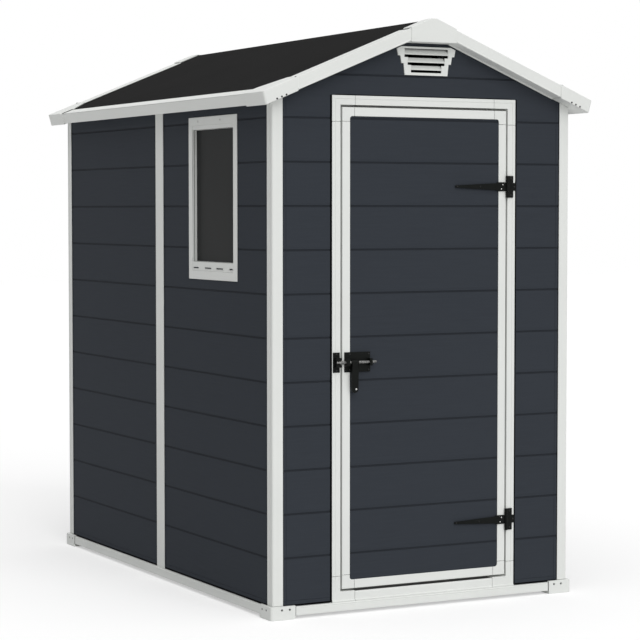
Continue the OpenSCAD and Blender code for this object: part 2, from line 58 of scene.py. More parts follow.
# Where the CAD says things are
FACE_X, FACE_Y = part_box("corner_posts")[1].xy
WALL_X, WALL_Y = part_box("right_wall_front")[1].x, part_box("back_wall")[1].y
BASE_X, RAIL_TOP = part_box("base_rails_sides")[1].xz
BASE_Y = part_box("base_rails_ends")[1].y
BRACKET_X, BRACKET_Y, BRACKET_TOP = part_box("base_corners")[1]
MID_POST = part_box("side_posts")[1].y
FRAME_LOW, FRAME_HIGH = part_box("frame_jambs")
HEAD_LOW, HEAD_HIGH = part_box("frame_head")
FRAME_X, FRAME_TOP = FRAME_HIGH.x, HEAD_HIGH.z
# Width of the door frame's stop, which the leaf shuts against
STOP_W = 0.017
SILL_TOP, HEAD_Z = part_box("frame_sill")[1].z - STOP_W, HEAD_LOW.z + STOP_W
LEAF_LOW, LEAF_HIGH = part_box("door_rails")
PLATE_LOW, PLATE_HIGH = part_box("hinge_plates")
LATCH_LOW, LATCH_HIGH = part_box("latch_plate")
KEEPER_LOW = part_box("latch_keeper")[0]
BOLT_LOW, BOLT_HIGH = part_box("latch_bolt")
WINDOW_LOW, WINDOW_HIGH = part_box("window_frame")
PANE_LOW, PANE_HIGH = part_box("window_pane")
VENT_LOW, VENT_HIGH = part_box("vents")
RIDGE_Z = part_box("roof_right")[1].z
ROOF_X, CORNER_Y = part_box("roof_corners")[1].xy
RAKE_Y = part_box("rake_trims_back")[1].y
SEAM_X, APEX_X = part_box("rake_trims_front")[1].x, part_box("apex_caps")[1].x
SEAM_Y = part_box("eave_trims")[1].y
SLOPE = math.radians(22.35)
# Heights over the roof panels, square to them: the trims' top, the corner pieces' top, the trims' foot
TRIM_TOP, CAP_TOP, TRIM_FOOT = 0.003, 0.006, -0.036
# The eave trims' outer face, down the slope from the ridge
EAVE_U = (ROOF_X - CAP_TOP * math.sin(SLOPE)) / math.cos(SLOPE) - 0.003
# Widths of the trims on the roof, and of a corner post's faces and a bracket's arms along X and Y
RAKE_FLANGE, EAVE_FLANGE = 0.075, 0.048
POST_X, POST_Y = 0.039, 0.040
ARM_X, ARM_Y = 0.091, 0.087
# How far the foot of the eaves' outer face comes forward for its height
EAVE_LEAN = 0.12
# The tiers of a vent, from the top: height of the slot, half length and thickness
VENT_SLOTS = ((VENT_HIGH.z - 0.031, 0.084, 0.006), (VENT_HIGH.z - 0.057, 0.071, 0.005),
              (VENT_LOW.z + 0.014, 0.058, 0.004))
# The sides of a cut take painted shade where their middle lies deeper than this
DARK_DEPTH = 0.0007
# Farther from the middle than any panel reaches
REACH = 1.1
# How near a point is to a place that it belongs to
NEAR = 2e-4


def tone(red, green, blue):
    """A colour written from 0 to 255, as Blender's own linear colour."""
    def linear(part):
        part /= 255
        return part / 12.92 if part <= 0.04045 else ((part + 0.055) / 1.055) ** 2.4
    return linear(red), linear(green), linear(blue)


def length(name, description, default):
    return bpy.props.FloatProperty(name=name, description=description, default=default, unit="LENGTH",
                                   precision=4)


def colour(name, description, default):
    return bpy.props.FloatVectorProperty(name=name, description=description, default=default, size=3,
                                         subtype="COLOR", min=0, max=1)


def strength(name, description, default, most=100):
    return bpy.props.FloatProperty(name=name, description=description, default=default, min=0, max=most)


class ShedSizes(bpy.types.PropertyGroup):
    """Sizes of the details that the frame leaves out"""
    board_first: length("First groove", "Height of the lowest groove between two boards", 0.2033)
    board_pitch: length("Board height", "Distance from one groove to the next", 0.1455)
    board_count: bpy.props.IntProperty(name="Grooves", description="Number of grooves up to the ridge",
                                       default=12, min=1, max=40)
    groove_width: length("Groove width", "Width of a groove at its bottom", 0.005)
    groove_depth: length("Groove depth", "Depth of a groove", 0.0024)
    gap_width: length("Shadow gap", "Width of the gap between a wall panel and the door's frame", 0.0066)
    seam_width: length("Seam", "Width of the gap between a wall panel and a post", 0.0024)
    line_width: length("Edge line", "Width of the fine line along a panel's edge", 0.002)
    line_inset: length("Edge line inset", "Distance of the fine line from a trim", 0.013)
    trim_round: length("Trim rounding", "Rounding of the edges of posts and frames", 0.0013)
    roof_round: length("Roof trim rounding", "Rounding of the edges of the roof's trims", 0.0014)
    cap_round: length("Corner rounding", "Rounding of the edges of the roof's corners and caps", 0.0026)
    rail_round: length("Rail rounding", "Rounding of the edges of the base rails", 0.003)
    iron_round: length("Iron rounding", "Rounding of the edges of hinges and latch", 0.0007)
    joint_gap: length("Joint", "Half of the gap between two pieces of a frame or trim", 0.0005)
    screw_radius: length("Screw radius", "Radius of the screws' heads on the latch", 0.003)


class ShedColours(bpy.types.PropertyGroup):
    """Colours of the shed's finishes"""
    wall: colour("Walls", "Moulded resin of the wall boards", tone(52, 56, 62))
    # Painted shade, not a resin of its own: a near-black tone for wall faces marked as lying in grooves, gaps
    # and pockets
    groove: colour("Grooves", "Resin in the grooves between boards", tone(9, 9, 11))
    trim: colour("Trims", "White resin of posts, frames and trims", tone(221, 223, 220))
    roof: colour("Roof", "Resin of the roof panels", tone(35, 35, 35))
    floor: colour("Floor", "Resin of the floor panel", tone(60, 62, 66))
    iron: colour("Iron", "Coated iron of hinges and latch", tone(15, 17, 16))
    screw: colour("Screws", "Blackened steel of the screws", tone(34, 34, 34))
    steel: colour("Bright steel", "Bare steel of the bright screws", tone(200, 200, 198))
    pane: colour("Pane", "Smoked sheet of the window", tone(45, 46, 46))


class ShedStage(bpy.types.PropertyGroup):
    """The plain stage around the shed"""
    camera_place: bpy.props.FloatVectorProperty(
        name="Camera place", description="Where the camera stands", default=(-3.7073, -7.2036, 1.3532),
        size=3, subtype="TRANSLATION", unit="LENGTH")
    camera_turn: bpy.props.FloatVectorProperty(
        name="Camera turn", description="Where the camera looks",
        default=(math.radians(87.067), 0, math.radians(-27.736)), size=3, subtype="EULER")
    camera_lens: bpy.props.FloatProperty(name="Lens", description="Focal length in millimetres",
                                         default=120.59, min=10)
    floor_size: length("Floor size", "Width of the floor", 60)
    floor: colour("Floor", "Colour of the floor where it is seen", (0.6, 0.6, 0.6))
    floor_glow: strength("Floor glow", "Light added where the floor is seen", 0.46)
    floor_bounce: strength("Floor bounce", "Share of light that the floor throws on the shed", 0.8, 1)
    key: strength("Key light", "Strength of the light from the front", 1.43)
    top: strength("Top light", "Strength of the light from above", 1.42)
    sky: strength("Sky", "Strength of the light from all around", 0.28)


# ---- Meshes ----

def link(name, data):
    piece = bpy.data.objects.new(name, data)
    bpy.context.scene.collection.objects.link(piece)
    return piece


def drop(*pieces):
    for piece in pieces:
        mesh = piece.data
        bpy.data.objects.remove(piece)
        bpy.data.meshes.remove(mesh)


def mesh_from(name, points, faces, edges=()):
    mesh = bpy.data.meshes.new(name)
    mesh.from_pydata([tuple(p) for p in points], edges, faces)
    mesh.update()
    return mesh


def opened(*meshes):
    """Some meshes in one shape that can be edited."""
    shape = bmesh.new()
    for mesh in meshes:
        shape.from_mesh(mesh)
    return shape


def written(shape, mesh):
    """Writes an edited shape into a mesh."""
    shape.to_mesh(mesh)
    shape.free()
    return mesh


def mark(mesh, shades=None):
    """Notes on each face how much painted shade it takes, from 0 to 1, where it lies in a groove, gap or
    pocket.
    """
    notes = mesh.attributes.get("in_groove") or mesh.attributes.new("in_groove", "FLOAT", "FACE")
    if shades:
        notes.data.foreach_set("value", shades)
    return mesh


def solid(points, faces, shades=None):
    """A closed cutter whose faces point outwards."""
    mesh = mesh_from("cutter", points, faces)
    shape = opened(mesh)
    bmesh.ops.recalc_face_normals(shape, faces=shape.faces)
    return mark(written(shape, mesh), shades or [0] * len(faces))


def rings_of(count, rings):
    """The faces of a solid made of rings of points: its two ends, then the bands between the rings."""
    faces = [tuple(range(count)), tuple(range((rings - 1) * count, rings * count))]
    for ring in range(0, (rings - 1) * count, count):
        for i in range(count):
            j = (i + 1) % count
            faces.append((ring + i, ring + j, ring + count + j, ring + count + i))
    return faces


def hexahedron(corners, shade=0):
    """A solid of eight corners, in the order of a box counted along X, then Y, then Z."""
    faces = [(0, 1, 3, 2), (4, 6, 7, 5), (0, 4, 5, 1), (2, 3, 7, 6), (0, 2, 6, 4), (1, 5, 7, 3)]
    return solid(corners, faces, [shade] * 6)


def block(first, second, shade=0):
    xs, ys, zs = [sorted(pair) for pair in zip(first, second)]
    return hexahedron([(x, y, z) for x in xs for y in ys for z in zs], shade)


def roof_point(side, u, w, y):
    """A point of the roof: down the slope from the ridge, square to the slope, and along Y."""
    return Vector((side * (u * math.cos(SLOPE) + w * math.sin(SLOPE)), y,
                   RIDGE_Z - u * math.sin(SLOPE) + w * math.cos(SLOPE)))


def roof_over(x, w, y):
    """The point of the roof at a distance from the middle, at a height square to the slope."""
    return Vector((x, y, RIDGE_Z + w / math.cos(SLOPE) - abs(x) * math.tan(SLOPE)))


def off_roof(side):
    """The way that a roof panel faces."""
    return Vector((side * math.sin(SLOPE), 0, math.cos(SLOPE)))


def roof_block(side, us, ws, ys, shade=0):
    return hexahedron([roof_point(side, u, w, y) for u in us for w in ws for y in sorted(ys)], shade)


def bar(start, end, out, profile, shade=0):
    """A cutter along a line on a face. Its profile goes up along the face and out of it."""
    start, end, out = Vector(start), Vector(end), Vector(out).normalized()
    across = out.cross(end - start).normalized()
    if across.z < -0.01:
        across.negate()
    points = [at + across * a + out * d for at in (start, end) for a, d in profile]
    # The ends, and the sides that lie deeper than DARK_DEPTH, take the painted shade
    depths = [d for a, d in profile]
    sides = [shade if (one + two) / 2 < -DARK_DEPTH else 0
             for one, two in zip(depths, depths[1:] + depths[:1])]
    return solid(points, rings_of(len(profile), 2), [shade, shade, *sides])


def channel(width, depth):
    """Profile of a square groove."""
    half = width / 2
    return [(-half, 0.001), (-half, -depth), (half, -depth), (half, 0.001)]


def fine_line(width, depth):
    """Profile of a groove with sloping sides."""
    half = width / 2
    return [(-half, 0.001), (-half, 0), (0, -depth), (half, 0), (half, 0.001)]


def board_joint(width, depth):
    """Profile of the joint between two boards: a groove under the long bevel of the upper board."""
    half, lip, bevel = width / 2, 0.002, 0.0115
    return [(-half - lip, 0.002), (-half - lip, 0), (-half, -lip), (-half, -depth), (half, -depth),
            (half, -0.0009), (bevel, 0), (bevel, 0.002)]


def dimple(at, out, radius, depth, shade=0.3):
    """A cutter for a round countersunk hole, whose faces take painted shade."""
    at, out = Vector(at), Vector(out).normalized()
    side = out.orthogonal().normalized()
    up = out.cross(side)
    count, points = 16, []
    for reach, deep in ((radius, 0.0006), (radius, 0), (0.7 * radius, -depth)):
        for i in range(count):
            angle = math.tau * i / count
            points.append(at + out * deep + (side * math.cos(angle) + up * math.sin(angle)) * reach)
    faces = rings_of(count, 3)
    return solid(points, faces, [shade] * len(faces))


def joined(meshes):
    """Some cutters in one mesh, with their marks."""
    points, faces, shades = [], [], []
    for mesh in meshes:
        first = len(points)
        points += [tuple(vertex.co) for vertex in mesh.vertices]
        faces += [tuple(first + i for i in face.vertices) for face in mesh.polygons]
        shades += [at.value for at in mesh.attributes["in_groove"].data]
        bpy.data.meshes.remove(mesh)
    return mark(mesh_from("cutters", points, faces), shades)


def islands(shape):
    """The separate parts of a mesh, each as a list of its vertices."""
    waiting = set(shape.verts)
    while waiting:
        part, front = [], [waiting.pop()]
        while front:
            vertex = front.pop()
            part.append(vertex)
            around = waiting.intersection(edge.other_vert(vertex) for edge in vertex.link_edges)
            waiting -= around
            front += around
        yield part


def open_seams(mesh, axis, places, gap):
    """Draws the parts of a mesh back from the places along an axis where they meet other pieces.

    With a gap below zero the parts run on into those pieces."""
    shape = opened(mesh)
    for part in islands(shape):
        middle = sum(vertex.co[axis] for vertex in part) / len(part)
        for vertex in part:
            for place in places:
                if abs(vertex.co[axis] - place) < NEAR:
                    vertex.co[axis] = place + gap * math.copysign(1, middle - place)
                    break
    return written(shape, mesh)


def merged(name, *nodes):
    """The solids of some CAD nodes in one mesh, with their flat faces whole again."""
    shape = opened(*[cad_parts[node].data for node in nodes])
    bmesh.ops.remove_doubles(shape, verts=shape.verts, dist=1e-5)
    bmesh.ops.dissolve_limit(shape, angle_limit=math.radians(0.5), verts=shape.verts, edges=shape.edges)
    mesh = written(shape, bpy.data.meshes.new(name))
    mesh.materials.clear()
    return mesh


def settle(piece):
    """Makes the result of the piece's modifiers its own plain mesh."""
    graph = bpy.context.evaluated_depsgraph_get()
    mesh = bpy.data.meshes.new_from_object(piece.evaluated_get(graph))
    piece.modifiers.clear()
    old, piece.data = piece.data, mesh
    bpy.data.meshes.remove(old)
    mesh.name = piece.name
    return piece


def carve(piece, cutter):
    modifier = piece.modifiers.new("Cuts", "BOOLEAN")
    modifier.operation, modifier.solver, modifier.use_self = "DIFFERENCE", "EXACT", True
    modifier.object = cutter


def carved(mesh, cuts):
    """A mesh with some cutters taken out of it, before its edges are rounded."""
    piece, cutter = link("carved", mesh), link("cutters", joined(cuts))
    carve(piece, cutter)
    settle(piece)
    drop(cutter)
    mesh = piece.data
    bpy.data.objects.remove(piece)
    return mesh


def rounded(name, mesh, radius, segments=3, cuts=()):
    """A piece with rounded edges and then some cuts, whose flat faces stay flat to the eye."""
    soft, crease = math.radians(12), math.radians(30)
    shape = opened(mesh)
    for edge in shape.edges:
        edge.smooth = not soft < edge.calc_face_angle(0) <= crease
    for face in shape.faces:
        face.smooth = True
    piece = link(name, written(shape, mesh))
    bevel = piece.modifiers.new("Rounded edges", "BEVEL")
    bevel.width, bevel.segments, bevel.use_clamp_overlap = radius, segments, False
    bevel.limit_method, bevel.angle_limit = "ANGLE", crease
    cutters = [link("cutters", joined(cuts))] if cuts else []
    for cutter in cutters:
        carve(piece, cutter)
    weighted = piece.modifiers.new("Flat faces", "WEIGHTED_NORMAL")
    weighted.keep_sharp, weighted.weight = True, 100
    settle(piece)
    drop(*cutters)
    return piece


def keep(piece, body, slot, material, *nodes):
    """Paints a finished piece and makes it ride on a body, in place of some CAD nodes."""
    piece.data.materials.clear()
    piece.data.materials.append(material)
    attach(piece, body)
    if nodes:
        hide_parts(*nodes)


# ---- Geometry Nodes ----

def add(tree, kind, inputs=None, **settings):
    """Adds a node with its settings, and with inputs that are constants or outputs of other nodes.

    It gives the node's own outputs."""
    node = tree.nodes.new(kind)
    for name, value in settings.items():
        setattr(node, name, value)
    for name, values in (inputs or {}).items():
        for value in values if isinstance(values, list) else [values]:
            if isinstance(value, bpy.types.NodeSocket):
                tree.links.new(value, node.inputs[name])
            else:
                node.inputs[name].default_value = value
    return node.outputs


def new_tree(name, inputs):
    """A Geometry Nodes tree with named inputs, and what they give in the tree."""
    tree = bpy.data.node_groups.new(name, "GeometryNodeTree")
    tree.is_modifier = True
    for socket, kind in {"Geometry": "Geometry", **inputs, "Material": "Material"}.items():
        tree.interface.new_socket(name=socket, in_out="INPUT", socket_type=f"NodeSocket{kind}")
    tree.interface.new_socket(name="Geometry", in_out="OUTPUT", socket_type="NodeSocketGeometry")
    return tree, tree.nodes.new("NodeGroupInput").outputs


def finish_tree(tree, source, given):
    """Ends a tree with its instances made real and its material set."""
    real = add(tree, "GeometryNodeRealizeInstances", {"Geometry": source})
    painted = add(tree, "GeometryNodeSetMaterial", {"Geometry": real[0], "Material": given["Material"]})
    add(tree, "NodeGroupOutput", {"Geometry": painted[0]})
    return tree


def cuts_tree():
    """Cuts a row of like grooves, and some single cuts, into a panel."""
    tree, given = new_tree("Row of cuts", {
        "Cutter": "Object", "First": "Vector", "Step": "Vector", "Count": "Int", "Single cuts": "Object"})
    row = add(tree, "GeometryNodeMeshLine", {
        "Count": given["Count"], "Start Location": given["First"], "Offset": given["Step"]})
    cutter = add(tree, "GeometryNodeObjectInfo", {"Object": given["Cutter"]})
    placed = add(tree, "GeometryNodeInstanceOnPoints", {
        "Points": row["Mesh"], "Instance": cutter["Geometry"]})
    real = add(tree, "GeometryNodeRealizeInstances", {"Geometry": placed["Instances"]})
    single = add(tree, "GeometryNodeObjectInfo", {"Object": given["Single cuts"]})
    both = add(tree, "GeometryNodeJoinGeometry", {"Geometry": [single["Geometry"], real["Geometry"]]})
    cut = add(tree, "GeometryNodeMeshBoolean", {
        "Self Intersection": True, "Mesh 1": given["Geometry"], "Mesh 2": both["Geometry"]},
        operation="DIFFERENCE", solver="EXACT")
    return finish_tree(tree, cut["Mesh"], given)


def heads_tree():
    """Sets a like small part on each point, turned to the way that the point faces."""
    tree, given = new_tree("Row of heads", {"Head": "Object", "Size": "Float", "Turn seed": "Int"})
    head = add(tree, "GeometryNodeObjectInfo", {"Object": given["Head"]})
    facing = add(tree, "GeometryNodeInputNamedAttribute", {"Name": "facing"}, data_type="FLOAT_VECTOR")
    turn = add(tree, "FunctionNodeRandomValue", {"Max": math.pi, "Seed": given["Turn seed"]},
               data_type="FLOAT")
    spin = add(tree, "ShaderNodeCombineXYZ", {"Z": turn["Value"]})
    first = add(tree, "FunctionNodeEulerToRotation", {"Euler": spin["Vector"]})
    align = add(tree, "FunctionNodeAlignRotationToVector", {
        "Rotation": first["Rotation"], "Vector": facing["Attribute"]}, axis="Z")
    placed = add(tree, "GeometryNodeInstanceOnPoints", {
        "Points": given["Geometry"], "Instance": head["Geometry"], "Rotation": align["Rotation"],
        "Scale": given["Size"]})
    return finish_tree(tree, placed["Instances"], given)


def beads_tree():
    """Lays a round bead along the lines of a mesh."""
    tree, given = new_tree("Beads", {"Radius": "Float", "Sides": "Int"})
    path = add(tree, "GeometryNodeMeshToCurve", {"Mesh": given["Geometry"]})
    ring = add(tree, "GeometryNodeCurvePrimitiveCircle", {
        "Radius": given["Radius"], "Resolution": given["Sides"]})
    tube = add(tree, "GeometryNodeCurveToMesh", {
        "Fill Caps": True, "Curve": path["Curve"], "Profile Curve": ring["Curve"]})
    return finish_tree(tree, tube["Mesh"], given)


def use_tree(piece, name, maker, **values):
    """Runs a tree, made once, on a piece. Underscores in a value's name stand for spaces."""
    tree = bpy.data.node_groups.get(name) or maker()
    modifier = piece.modifiers.new(name, "NODES")
    modifier.node_group = tree
    for socket in tree.interface.items_tree:
        key = socket.name.lower().replace(" ", "_")
        if socket.in_out == "INPUT" and key in values:
            modifier[socket.identifier] = values[key]
    return settle(piece)


# ---- Materials ----

def on_object(tree):
    """The place of a point in the object's own coordinates."""
    return add(tree, "ShaderNodeTexCoord")["Object"]


def noise(tree, place, scale, detail, roughness=0.55):
    return add(tree, "ShaderNodeTexNoise", {
        "Vector": place, "Scale": scale, "Detail": detail, "Roughness": roughness})["Fac"]


def ramp(tree, value, low, high, out_low=0, out_high=1):
    return add(tree, "ShaderNodeMapRange", {
        "Value": value, "From Min": low, "From Max": high, "To Min": out_low, "To Max": out_high})["Result"]


def blend(tree, factor, first, second):
    """A mix of two colours, each a constant or another node's output."""
    mix = tree.nodes.new("ShaderNodeMix")
    mix.data_type = "RGBA"
    colours = [s for s in mix.inputs if s.type == "RGBA"]
    for socket, value in zip(colours, (first, second)):
        if isinstance(value, bpy.types.NodeSocket):
            tree.links.new(value, socket)
        else:
            socket.default_value = (*value, 1)
    tree.links.new(factor, [s for s in mix.inputs if s.type == "VALUE"][0])
    return [s for s in mix.outputs if s.type == "RGBA"][0]


def times(shade, factor):
    return tuple(min(1, part * factor) for part in shade)


def in_groove(tree, shade, sunk):
    """A colour that gives way to a darker one, painted shade, on faces marked as lying in grooves, gaps or
    pockets.
    """
    depth = add(tree, "ShaderNodeAttribute", attribute_name="in_groove")["Fac"]
    return blend(tree, depth, shade, sunk)


def new_material(name, roughness, **constants):
    material = bpy.data.materials.new(name)
    material.use_nodes = True
    shader = material.node_tree.nodes["Principled BSDF"]
    shader.inputs["Roughness"].default_value = roughness
    for key, value in constants.items():
        shader.inputs[key.replace("_", " ").title().replace("Ior", "IOR")].default_value = value
    return material, material.node_tree


def paint(tree, shade, height=None, distance=0, strength=0):
    """Gives a material its colour, and a relief whose height of 1 stands out by a distance."""
    shader = tree.nodes["Principled BSDF"]
    tree.links.new(shade, shader.inputs["Base Color"])
    if height is not None:
        relief = add(tree, "ShaderNodeBump", {"Strength": strength, "Distance": distance, "Height": height})
        tree.links.new(relief["Normal"], shader.inputs["Normal"])


def even_finish(name, roughness, shade, tones, cloud, span=(0.3, 0.7), sunk=None, grain=None, relief=(0, 0),
                **constants):
    """A material in soft clouds of two tones of a shade, with a sunk tone of painted shade on faces marked as
    lying in grooves or gaps.

    The tones and the sunk tone are shares of the shade. The cloud and the grain are each a noise's
    scale and detail, and the relief of the grain is its distance and strength."""
    material, tree = new_material(name, roughness, **constants)
    place = on_object(tree)
    dark, light = [times(shade, factor) for factor in tones]
    mixed = blend(tree, ramp(tree, noise(tree, place, *cloud), *span), dark, light)
    if sunk:
        mixed = in_groove(tree, mixed, times(shade, sunk))
    paint(tree, mixed, noise(tree, place, *grain) if grain else None, *relief)
    return material


def wall_resin(colours):
    """Dark moulded resin with a fine wood grain along the boards, and near-black painted shade on faces
    marked as lying in grooves and gaps.
    """
    wall = colours.wall
    material, tree = new_material("wall_resin", 0.7, specular_ior_level=0.05)
    place = on_object(tree)
    parts = add(tree, "ShaderNodeSeparateXYZ", {"Vector": place})
    along = add(tree, "ShaderNodeMath", {0: parts["X"], 1: parts["Y"]}, operation="ADD")
    flat = add(tree, "ShaderNodeCombineXYZ", {"X": along[0], "Z": parts["Z"]})
    stretched = add(tree, "ShaderNodeMapping", {"Vector": flat["Vector"], "Scale": (7, 1, 150)})
    grain = noise(tree, stretched["Vector"], 1, 5, 0.6)
    shade = blend(tree, ramp(tree, grain, 0.3, 0.7), times(wall, 0.93), times(wall, 1.05))
    shade = blend(tree, ramp(tree, noise(tree, place, 2.5, 2), 0.3, 0.7, 0, 0.5), shade, times(wall, 1.04))
    paint(tree, in_groove(tree, shade, colours.groove), grain, 0.0004, 0.35)
    return material


def floor_resin(colours):
    """Dark resin with a raised tread of small squares."""
    floor = colours.floor
    material, tree = new_material("floor_resin", 0.6)
    place = on_object(tree)
    tread = add(tree, "ShaderNodeTexBrick", {
        "Vector": place, "Scale": 1, "Brick Width": 0.03, "Row Height": 0.03, "Mortar Size": 0.003,
        "Mortar Smooth": 0.6}, offset=0)["Fac"]
    cloud = ramp(tree, noise(tree, place, 5, 3), 0.3, 0.7)
    shade = blend(tree, cloud, times(floor, 0.88), times(floor, 1.06))
    shade = blend(tree, tread, shade, times(floor, 0.6))
    paint(tree, shade, ramp(tree, tread, 0, 1, 1, 0), 0.0012, 0.6)
    return material


def trim_resin(colours):
    """White moulded resin with a faint orange peel, and painted shade on faces marked as lying in grooves,
    gaps and dimples.
    """
    return even_finish("trim_resin", 0.42, colours.trim, (0.98, 1.01), (4, 2), sunk=0.12, grain=(260, 2),
                       relief=(0.0002, 0.12), specular_ior_level=0.35)


def roof_resin(colours):
    """Matt dark resin with a fine even texture, and painted shade on faces marked as lying in grooves."""
    return even_finish("roof_resin", 0.92, colours.roof, (0.94, 1.06), (3, 2), sunk=0.2, grain=(180, 3),
                       relief=(0.0004, 0.3), specular_ior_level=0.01)


def iron_coat(colours):
    """Black coated iron with a soft sheen."""
    return even_finish("iron_coat", 0.4, colours.iron, (0.85, 1.2), (30, 3), grain=(700, 2),
                       relief=(0.0001, 0.25), specular_ior_level=0.08)


def screw_steel(colours):
    """Blackened steel, a little worn."""
    return even_finish("screw_steel", 0.35, colours.screw, (1, 2.2), (400, 3), (0.4, 0.7), metallic=0.8)


def bright_steel(colours):
    """Bare zinc-bright steel with fine scratches."""
    return even_finish("bright_steel", 0.34, colours.steel, (0.7, 1), (900, 3), (0.35, 0.7), grain=(900, 3),
                       relief=(0.0001, 0.2), metallic=0.85)


def polished_coat(colours):
    """Black coating worn smooth, over steel."""
    return even_finish("polished_coat", 0.24, colours.steel, (0.16, 0.45), (120, 3), (0.4, 0.65),
                       metallic=0.7)


def smoked_sheet(colours):
    """Smoked plastic sheet: dark and glossy."""
    return even_finish("smoked_sheet", 0.3, colours.pane, (0.92, 1.06), (3, 2), grain=(20, 2),
                       relief=(0.0003, 0.1), specular_ior_level=0.02)


FINISHES = {
    "wall": wall_resin, "trim": trim_resin, "roof": roof_resin, "floor": floor_resin, "iron": iron_coat,
    "screw": screw_steel, "steel": bright_steel, "bolt": polished_coat, "pane": smoked_sheet,
}


def finish(name):
    """A finish by its name, made once."""
    made = bpy.data.materials.get(FINISHES[name].__name__)
    return made or FINISHES[name](bpy.context.scene.shed_colours)


def round_off(name, body, slot, radius, *nodes, seams=(), gap=None, carves=(), cuts=(), coat=None):
    """A rounded copy of some CAD nodes: seams opened, then carved, rounded and cut.

    Its finish is the slot's own, or another one as a coat."""
    mesh = merged(name, *nodes)
    for axis, places in seams:
        open_seams(mesh, axis, places, gap or bpy.context.scene.shed_sizes.joint_gap)
    if carves:
        mesh = carved(mesh, carves)
    keep(rounded(name, mesh, radius, cuts=cuts), body, slot, finish(coat or slot), *nodes)


def screw_head():
    """A low round screw head of radius 1, with a crossed recess."""
    count, rings = 12, ((1, -0.4), (1, 0.16), (0.86, 0.36), (0.45, 0.5))
    points = [(r * math.cos(math.tau * i / count), r * math.sin(math.tau * i / count), z)
              for r, z in rings for i in range(count)]
    arms = [block((-0.55, -0.1, 0.25), (0.55, 0.1, 0.6)), block((-0.1, -0.55, 0.25), (0.1, 0.55, 0.6))]
    return link("screw_head", carved(solid(points, rings_of(count, len(rings))), arms))


def screws(name, body, spots, more=0, kind="screw"):
    """Screw heads on one body, each at a place and facing a way.

    Their radius is that of the latch's screws and some more, or less."""
    points = mesh_from(name, [at for at, facing in spots], [])
    facings = [part for at, facing in spots for part in Vector(facing).normalized()]
    points.attributes.new("facing", "FLOAT_VECTOR", "POINT").data.foreach_set("vector", facings)
    head = screw_head()
    piece = use_tree(link(name, points), "Row of heads", heads_tree, head=head, turn_seed=len(spots),
                     size=bpy.context.scene.shed_sizes.screw_radius + more, material=finish(kind))
    drop(head)
    keep(piece, body, "iron", finish(kind))


def beads(name, body, radius, lines):
    """Thin raised beads of trim resin along some straight lines."""
    mesh = mesh_from(name, [at for line in lines for at in line], [],
                     [(2 * i, 2 * i + 1) for i in range(len(lines))])
    piece = use_tree(link(name, mesh), "Beads", beads_tree, radius=radius, sides=10, material=finish("trim"))
    keep(piece, body, "trim", finish("trim"))


# ---- Boards ----

def upright(at, profile, shade, top=2 * REACH):
    """A line up a panel's face."""
    return (at, 0), (at, top), profile, shade


def level(height, profile, shade):
    """A line across a panel's face."""
    return (-REACH, height), (REACH, height), profile, shade


def cut_boards(node, name, body, out, lines=(), pockets=()):
    """Cuts the joints of the boards into both faces of a panel, and single lines into its outer face."""
    sizes = bpy.context.scene.shed_sizes
    low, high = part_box(node)
    out = Vector(out)

    def on_face(which, across, height):
        """A point of the panel's outer face, or of its inner one where which is -1."""
        if out.y:
            return Vector((across, high.y if out.y * which > 0 else low.y, height))
        return Vector((high.x if out.x * which > 0 else low.x, across, height))

    joint = board_joint(sizes.groove_width, sizes.groove_depth)
    # The joints' deep sides take a share of the painted shade
    joints = [bar(on_face(which, -REACH, 0), on_face(which, REACH, 0), out * which, joint, 0.35)
              for which in (1, -1)]
    cutter = link("cutters", joined(joints))
    singles = [bar(on_face(1, *start), on_face(1, *end), out, profile, shade)
               for start, end, profile, shade in lines]
    values = {}
    if singles or pockets:
        values["single_cuts"] = link("cutters", joined(singles + list(pockets)))
    piece = link(name, merged(node, node))
    use_tree(piece, "Row of cuts", cuts_tree, cutter=cutter, first=(0, 0, sizes.board_first),
             step=(0, 0, sizes.board_pitch), count=sizes.board_count, material=finish("wall"), **values)
    drop(cutter, *values.values())
    keep(piece, body, "wall", finish("wall"), node)


def vent_tiers():
    """For each tier of a vent: top and foot of its opening, half its length, and the tier's thickness."""
    top = VENT_HIGH.z - 0.0065
    for z, half, thick in VENT_SLOTS:
        yield top, z - 0.005, half + 0.0015, thick
        top = z - 0.005


def vent_pockets(end):
    """Pockets in the gable behind the tiers of its vent, in full painted shade."""
    return [block((-half - 0.002, end * (WALL_Y + 0.002), foot),
                  (half + 0.002, end * (WALL_Y - 0.013), top), 1) for top, foot, half, _ in vent_tiers()]


